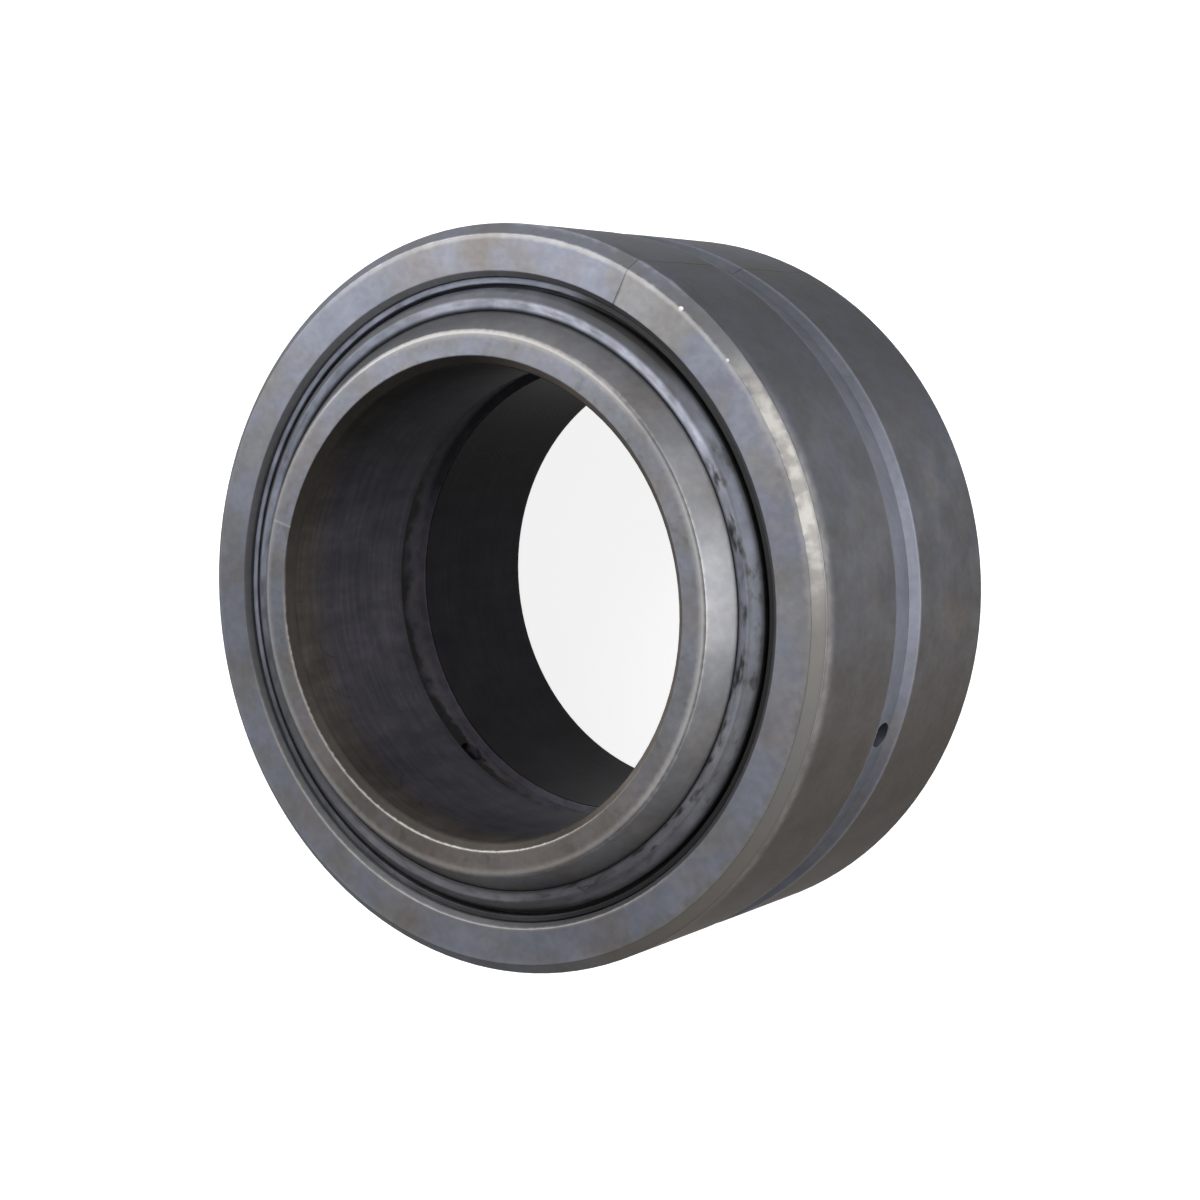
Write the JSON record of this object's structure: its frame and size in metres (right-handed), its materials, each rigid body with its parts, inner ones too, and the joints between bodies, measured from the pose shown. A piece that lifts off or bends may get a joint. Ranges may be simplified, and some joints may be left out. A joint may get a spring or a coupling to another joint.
{
  "type": "radial spherical plain bearing",
  "caption": "Self-aligning bearing: a sphered inner ring that turns and tilts in a split outer ring, with oil grooves, oil holes and lip seals.",
  "frame": {"origin": "centre of the spherical sliding surface, midway along the common axis of both rings", "axes": "+Z along the bore axis, out of the front face, up when the bearing stands on its inner ring's end; +X and +Y across the axis, with the outer ring's fracture 60 degrees from +X towards +Y"},
  "size_m": [0.0904, 0.0904, 0.05],
  "materials": {
    "outer_ring_steel": "phosphated bearing steel, dark blue-grey, satin, worn to bright metal along its edges",
    "inner_ring_steel": "phosphated bearing steel, grey turned faces, near black bore, bright where edges are worn",
    "seal_rubber": "blue-grey elastomer, dull, smeared with black grease"
  },
  "bodies": {
    "outer": {"outer_ring": "outer_ring_steel"},
    "seals": {"front_seal": "seal_rubber", "rear_seal": "seal_rubber"},
    "inner": {"inner_ring": "inner_ring_steel"}
  },
  "joints": [
    {"name": "swivel", "type": "hinge", "parent": "outer", "child": "seals", "pos_m": [0, 0, 0], "axis": [0, 0, 1], "continuous": true},
    {"name": "tilt", "type": "hinge", "parent": "seals", "child": "inner", "pos_m": [0, 0, 0], "axis": [1, 0, 0], "range_deg": [-6, 6]}
  ]
}
